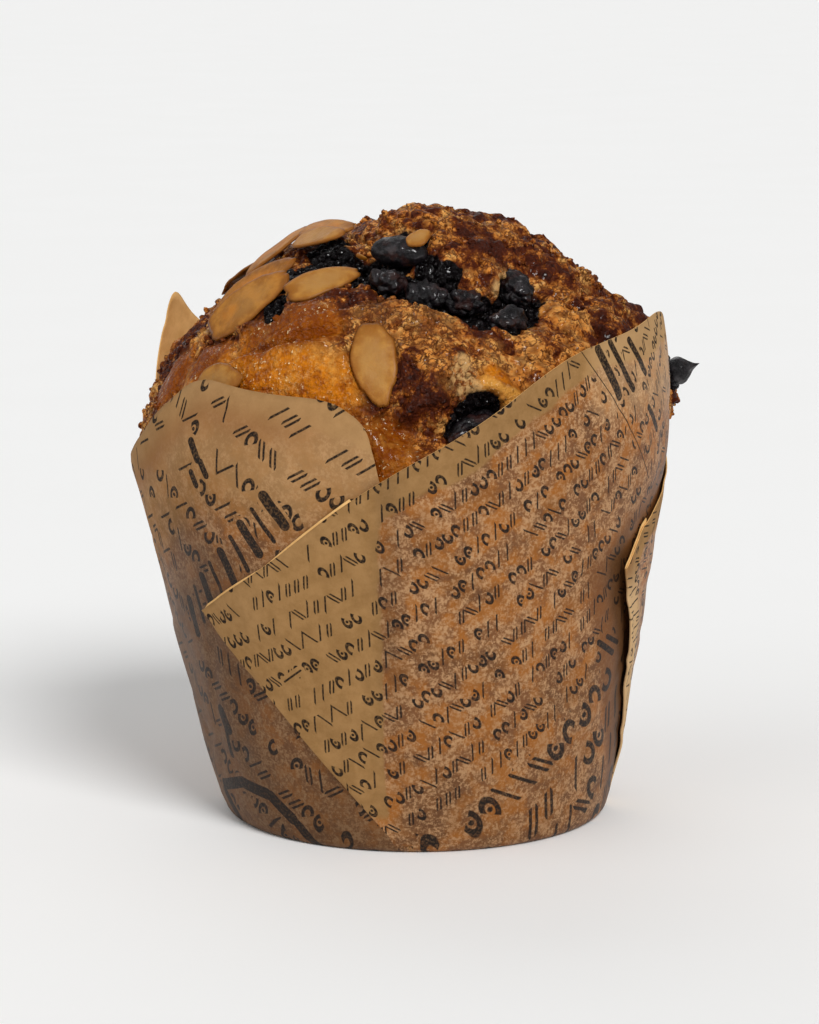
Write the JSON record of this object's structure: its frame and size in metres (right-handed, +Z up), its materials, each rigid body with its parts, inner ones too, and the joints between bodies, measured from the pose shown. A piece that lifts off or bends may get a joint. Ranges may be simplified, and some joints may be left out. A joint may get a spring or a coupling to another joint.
{
  "type": "muffin in a paper wrap",
  "caption": "Muffin with a cracked, browned dome, baked-in berries and almond flakes, standing in a pleated tulip wrap of printed kraft paper.",
  "frame": {"origin": "centre of the flat base that the muffin stands on", "axes": "+Z up through the dome, -Y towards the viewer of the picture, +X to the viewer's right"},
  "size_m": [0.0865, 0.0811, 0.0919],
  "materials": {
    "crust": "browned, part glossy crumb",
    "printed_paper": "greaseproof kraft with dark print",
    "almond": "satin, lightly toasted",
    "baked_berry": "glossy baked juice"
  },
  "bodies": {
    "root": {"cake": "crust", "paper_wrap": "printed_paper", "almond_front": "almond", "almond_low_left": "almond", "almond_left_long": "almond", "almond_left_under": "almond", "almond_left_edge": "almond", "almond_crest_left": "almond", "almond_crest_low": "almond", "almond_middle": "almond", "almond_back_left": "almond", "almond_back": "almond", "almond_back_right": "almond", "berry_crest": "baked_berry", "berry_burst_left": "baked_berry", "berry_burst_middle": "baked_berry", "berry_burst_right": "baked_berry", "berry_torn": "baked_berry", "berry_flat": "baked_berry", "berry_low": "baked_berry", "berry_side": "baked_berry", "berry_back": "baked_berry"}
  },
  "joints": []
}
